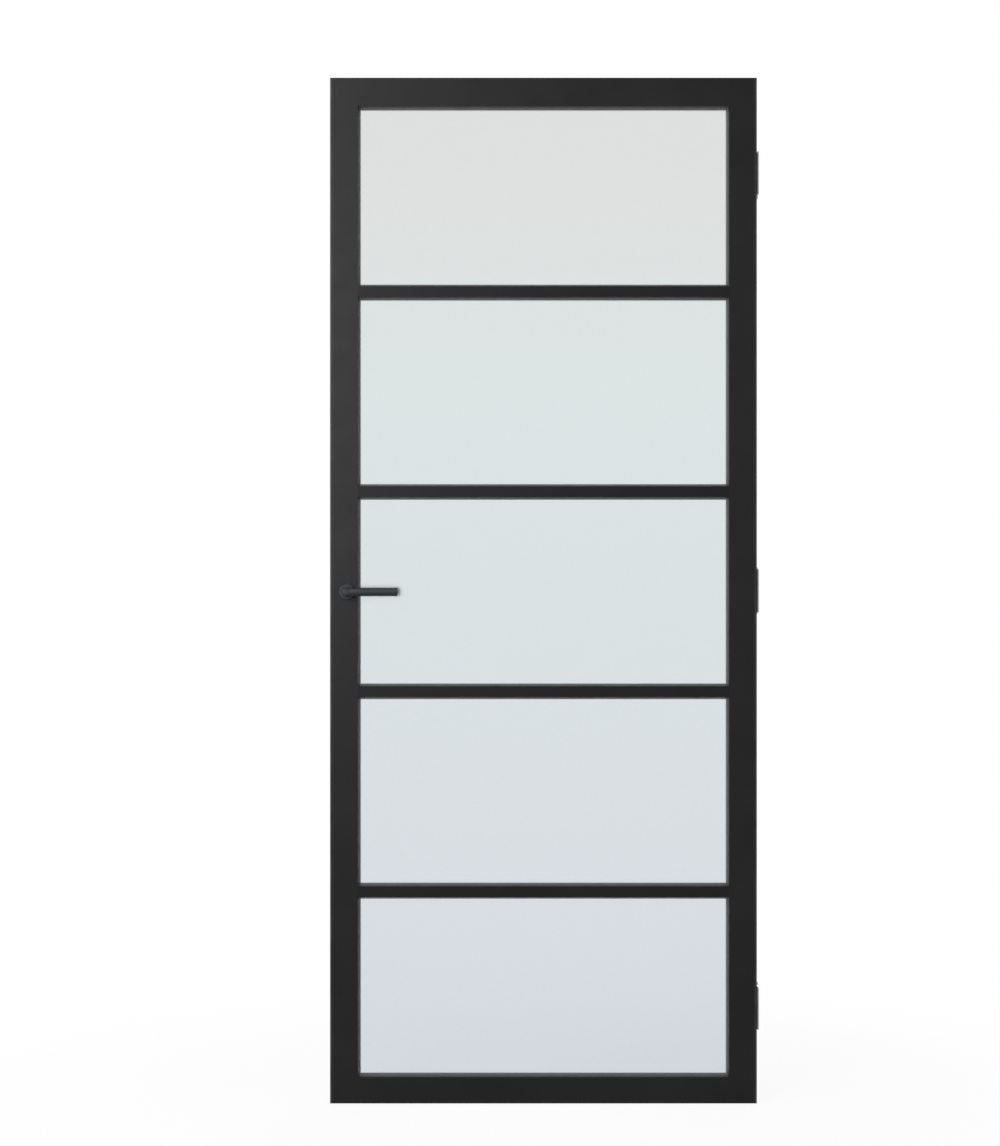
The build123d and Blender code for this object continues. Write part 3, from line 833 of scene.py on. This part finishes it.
class DOOR_OT_drive_brads(bpy.types.Operator):
    """Pins the glazing beads at the back with lacquered brads"""

    bl_idname = "door.drive_brads"
    bl_label = "Drive Brads"

    def execute(self, context):
        settings = context.scene.door_brads
        inset, gap = settings.edge_gap, settings.corner_gap
        points, lines = [], []
        for name in numbered("glazing_beads"):
            low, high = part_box(name)
            left, right = low.x + inset, high.x - inset
            foot, head = low.z + inset, high.z - inset
            for start, end in (
                ((low.x + gap, foot), (high.x - gap, foot)),
                ((low.x + gap, head), (high.x - gap, head)),
                ((left, low.z + gap), (left, high.z - gap)),
                ((right, low.z + gap), (right, high.z - gap)),
            ):
                lines.append((len(points), len(points) + 1))
                points += [(x, high.y, z) for x, z in (start, end)]
        bead_lines = bpy.data.meshes.new("bead_lines")
        bead_lines.from_pydata(points, lines, [])
        brads = run_tree(
            "bead_brads",
            plan_brads(),
            bead_lines,
            {
                "Spacing": settings.spacing,
                "Head Radius": settings.head_radius,
                "Head Rise": settings.head_rise,
                "Finish": bpy.data.materials["black_lacquer_sprayed"],
            },
        )
        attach(brads, "door_leaf")
        return {"FINISHED"}


class DOOR_OT_finish_lever_set(bpy.types.Operator):
    """Finishes the levers, rosettes, spindle and their screws"""

    bl_idname = "door.finish_lever_set"
    bl_label = "Finish Lever Set"

    def execute(self, context):
        settings = context.scene.door_fittings
        dress(
            ["lever_front", "lever_back", "rosette_front", "rosette_back"], make_handle_black(settings)
        )
        dress(["rosette_base_front", "rosette_base_back"], make_moulded_plastic())
        dress(["spindle", "lever_grub_screws", "rosette_screws"], make_plated_steel(settings))
        return {"FINISHED"}


class DOOR_OT_hang_hinges(bpy.types.Operator):
    """Finishes the three butt hinges, their bearings and screws"""

    bl_idname = "door.hang_hinges"
    bl_label = "Hang Hinges"

    def execute(self, context):
        steel = make_satin_steel(context.scene.door_fittings)
        dress(hinge_pieces("door_plate", "frame_plate", "pin") + ["hinge_screws"], steel)
        dress(["hinge_bearings"], bpy.data.materials["base_plastic_moulded"])
        return {"FINISHED"}


class DOOR_OT_fit_lock(bpy.types.Operator):
    """Finishes the lock, its forend and its magnetic latch"""

    bl_idname = "door.fit_lock"
    bl_label = "Fit Lock"

    def execute(self, context):
        dress(
            ["lock_forend", "forend_screws", "latch_bolt"], bpy.data.materials["satin_steel_brushed"]
        )
        dress(["lock_case", "lock_cover", "follower"], bpy.data.materials["plated_steel_zinc"])
        dress(["latch_magnet"], make_nickel())
        return {"FINISHED"}


class DOOR_OT_wind_springs(bpy.types.Operator):
    """Winds the latch spring and the lever's return spring as coils of round wire"""

    bl_idname = "door.wind_springs"
    bl_label = "Wind Springs"

    def execute(self, context):
        settings = context.scene.door_springs
        wire_finish = make_spring_wire(context.scene.door_fittings)
        tree = plan_spring()
        coils = {
            "latch_spring": (settings.latch_turns, settings.latch_wire),
            "lever_return_spring": (settings.return_turns, settings.return_wire),
        }
        for node, (turns, wire) in coils.items():
            low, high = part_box(node)
            middle = (low + high) / 2
            spring = run_tree(
                f"{node}_coil",
                tree,
                bpy.data.meshes.new(f"{node}_start"),
                {
                    "Facets": settings.facets,
                    "Turns": turns,
                    "Coil Radius": (high.z - low.z) / 2 - wire,
                    "Wire Radius": wire,
                    "Length": high.x - low.x - 2 * wire,
                    "Start": (low.x + wire, middle.y, middle.z),
                    "Finish": wire_finish,
                },
            )
            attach(spring, "door_leaf")
            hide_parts(node)
            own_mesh(spring)
        return {"FINISHED"}


class DOOR_OT_glue_dowels(bpy.types.Operator):
    """Finishes the beech dowels in the joints of the frame"""

    bl_idname = "door.glue_dowels"
    bl_label = "Glue Dowels"

    def execute(self, context):
        dress(["frame_dowels", "bar_dowels"], make_dowel_beech())
        return {"FINISHED"}


# Stage


def seen_rays(tree):
    """1 for rays from the camera, from a reflection or through glass, and 0 for the rest."""
    path = tree.nodes.new("ShaderNodeLightPath")
    seen = path.outputs["Is Camera Ray"]
    for label in ("Is Glossy Ray", "Is Transmission Ray"):
        either = tree.nodes.new("ShaderNodeMath")
        either.operation = "MAXIMUM"
        tree.links.new(seen, either.inputs[0])
        tree.links.new(path.outputs[label], either.inputs[1])
        seen = either.outputs["Value"]
    return seen


def light_room(world, settings):
    """White where it is seen, and an even, faintly tinted light for everything else."""
    world.use_nodes = True
    tree = world.node_tree
    tree.nodes.clear()
    room = tree.nodes.new("ShaderNodeBackground")
    room.inputs["Color"].default_value = (*settings.room_tint, 1.0)
    room.inputs["Strength"].default_value = settings.room_light
    white = tree.nodes.new("ShaderNodeBackground")
    white.inputs["Color"].default_value = (1.0, 1.0, 1.0, 1.0)
    white.inputs["Strength"].default_value = 1.0
    mix = tree.nodes.new("ShaderNodeMixShader")
    out = tree.nodes.new("ShaderNodeOutputWorld")
    tree.links.new(seen_rays(tree), mix.inputs["Fac"])
    tree.links.new(room.outputs["Background"], mix.inputs[1])
    tree.links.new(white.outputs["Background"], mix.inputs[2])
    tree.links.new(mix.outputs["Shader"], out.inputs["Surface"])


def lay_floor():
    """A pale paper floor that keeps a soft shadow near the leaf and fades to white."""
    half, gap = 7.0, 0.002
    fade_start, fade_end, white_near_leaf = 0.5, 1.6, 0.92
    level = leaf_low.z - gap
    mesh = bpy.data.meshes.new("studio_floor")
    corners = [(-half, -half, level), (half, -half, level), (half, half, level), (-half, half, level)]
    mesh.from_pydata(corners, [], [(0, 1, 2, 3)])
    floor = bpy.data.objects.new("studio_floor", mesh)
    bpy.context.scene.collection.objects.link(floor)
    paper, tree, shader, place = start_finish("floor_paper")
    fibres = grain(tree, place, size=0.01, detail=3.0)
    tint = blend_colours(tree, fibres, [(0.3, (0.86, 0.86, 0.86)), (0.7, (0.88, 0.88, 0.88))])
    tree.links.new(tint, shader.inputs["Base Color"])
    shader.inputs["Roughness"].default_value = 0.9
    shader.inputs["Specular IOR Level"].default_value = 0.1
    distance = tree.nodes.new("ShaderNodeVectorMath")
    distance.operation = "LENGTH"
    fade = tree.nodes.new("ShaderNodeMapRange")
    fade.interpolation_type = "SMOOTHSTEP"
    fade.inputs["From Min"].default_value = fade_start
    fade.inputs["From Max"].default_value = fade_end
    fade.inputs["To Min"].default_value = white_near_leaf
    fade.inputs["To Max"].default_value = 1.0
    share = tree.nodes.new("ShaderNodeMath")
    share.operation = "MULTIPLY"
    white = tree.nodes.new("ShaderNodeEmission")
    mix = tree.nodes.new("ShaderNodeMixShader")
    tree.links.new(place, distance.inputs[0])
    tree.links.new(distance.outputs["Value"], fade.inputs["Value"])
    tree.links.new(fade.outputs["Result"], share.inputs[0])
    tree.links.new(seen_rays(tree), share.inputs[1])
    tree.links.new(share.outputs["Value"], mix.inputs["Fac"])
    tree.links.new(shader.outputs["BSDF"], mix.inputs[1])
    tree.links.new(white.outputs["Emission"], mix.inputs[2])
    tree.links.new(mix.outputs["Shader"], tree.nodes["Material Output"].inputs["Surface"])
    mesh.materials.append(paper)


def flag_off(name, pieces):
    """Lists pieces for a lamp to skip, so that it doesn't glare in them."""
    flagged = bpy.data.collections.new(name)
    for piece in pieces:
        flagged.objects.link(nodes[piece])
    for item in flagged.collection_objects:
        item.light_linking.link_state = "EXCLUDE"
    return flagged


def hang_light(name, place, target, size, power, flagged):
    """A soft light that faces a target, isn't seen itself, and is flagged off some pieces."""
    light = bpy.data.lights.new(name, "AREA")
    light.shape = "RECTANGLE"
    light.size, light.size_y = size
    light.energy = power
    lamp = bpy.data.objects.new(name, light)
    bpy.context.scene.collection.objects.link(lamp)
    lamp.location = place
    lamp.rotation_euler = (Vector(target) - Vector(place)).to_track_quat("-Z", "Y").to_euler()
    lamp.visible_camera = False
    lamp.light_linking.receiver_collection = flagged


class DOOR_OT_set_stage(bpy.types.Operator):
    """Sets the camera square to the leaf, in a white studio with soft light from the upper left"""

    bl_idname = "door.set_stage"
    bl_label = "Set Stage"

    def execute(self, context):
        settings = context.scene.door_studio
        scene = context.scene
        view = bpy.data.cameras.new("photo_camera")
        view.lens = settings.lens
        view.sensor_width = 36.0
        view.clip_end = 100.0
        camera = bpy.data.objects.new("photo_camera", view)
        camera.location = settings.camera_place
        camera.rotation_euler = (math.radians(90.0), 0.0, 0.0)
        scene.collection.objects.link(camera)
        scene.camera = camera
        panes = numbered("glass_pane")
        hinges = hinge_pieces("door_plate", "frame_plate") + ["hinge_screws"]
        panes_off = flag_off("panes_flagged", panes)
        hinges_off = flag_off("panes_and_hinges_flagged", panes + hinges)
        lamps = (
            ("key", (-1.3, -3.1, 1.88), (-0.2, 0.0, 1.5), (0.9, 2.0), hinges_off),
            ("fill", (2.9, -2.2, 1.6), (0.0, 0.0, 1.1), (2.0, 2.0), panes_off),
            ("top", (-0.9, -1.2, 3.4), (-0.35, -0.05, 1.05), (1.2, 0.8), panes_off),
            ("side", (-3.2, -1.0, 1.3), (0.2, 0.0, 1.1), (2.0, 2.4), panes_off),
            ("back", (1.0, 3.6, 2.4), (0.0, 0.0, 1.1), (2.0, 2.0), panes_off),
        )
        for name, place, target, size, flagged in lamps:
            power = getattr(settings, f"{name}_power")
            hang_light(f"{name}_light", place, target, size, power, flagged)
        scene.world = scene.world or bpy.data.worlds.new("studio")
        light_room(scene.world, settings)
        lay_floor()
        scene.view_settings.view_transform = "Standard"
        return {"FINISHED"}


# Panel and registration


class DOOR_PT_workshop(bpy.types.Panel):
    """Lists the steps that finish the door, with the settings of each"""

    bl_idname = "DOOR_PT_workshop"
    bl_label = "Satin Glass Door"
    bl_space_type = "VIEW_3D"
    bl_region_type = "UI"
    bl_category = "Door"

    def draw(self, context):
        for step, group in steps:
            box = self.layout.box()
            box.operator(step.bl_idname)
            if group:
                settings = getattr(context.scene, group)
                for label in settings.bl_rna.properties.keys():
                    if label not in ("rna_type", "name"):
                        box.prop(settings, label)


steps = (
    (DOOR_OT_lacquer_frame, "door_lacquer"),
    (DOOR_OT_glaze_panes, "door_glass"),
    (DOOR_OT_drive_brads, "door_brads"),
    (DOOR_OT_finish_lever_set, "door_fittings"),
    (DOOR_OT_hang_hinges, None),
    (DOOR_OT_fit_lock, None),
    (DOOR_OT_wind_springs, "door_springs"),
    (DOOR_OT_glue_dowels, None),
    (DOOR_OT_set_stage, "door_studio"),
)
setting_groups = {
    "door_lacquer": LacquerSettings,
    "door_glass": GlassSettings,
    "door_brads": BradSettings,
    "door_fittings": FittingSettings,
    "door_springs": SpringSettings,
    "door_studio": StudioSettings,
}
classes = (*setting_groups.values(), *(step for step, group in steps), DOOR_PT_workshop)


def register():
    for item in classes:
        bpy.utils.register_class(item)
    for name, group in setting_groups.items():
        setattr(bpy.types.Scene, name, PointerProperty(type=group))


def unregister():
    for name in setting_groups:
        delattr(bpy.types.Scene, name)
    for item in reversed(classes):
        bpy.utils.unregister_class(item)


def main():
    register()
    bpy.ops.door.lacquer_frame()
    bpy.ops.door.glaze_panes()
    bpy.ops.door.drive_brads()
    bpy.ops.door.finish_lever_set()
    bpy.ops.door.hang_hinges()
    bpy.ops.door.fit_lock()
    bpy.ops.door.wind_springs()
    bpy.ops.door.glue_dowels()
    bpy.ops.door.set_stage()


if __name__ == "__main__":
    main()
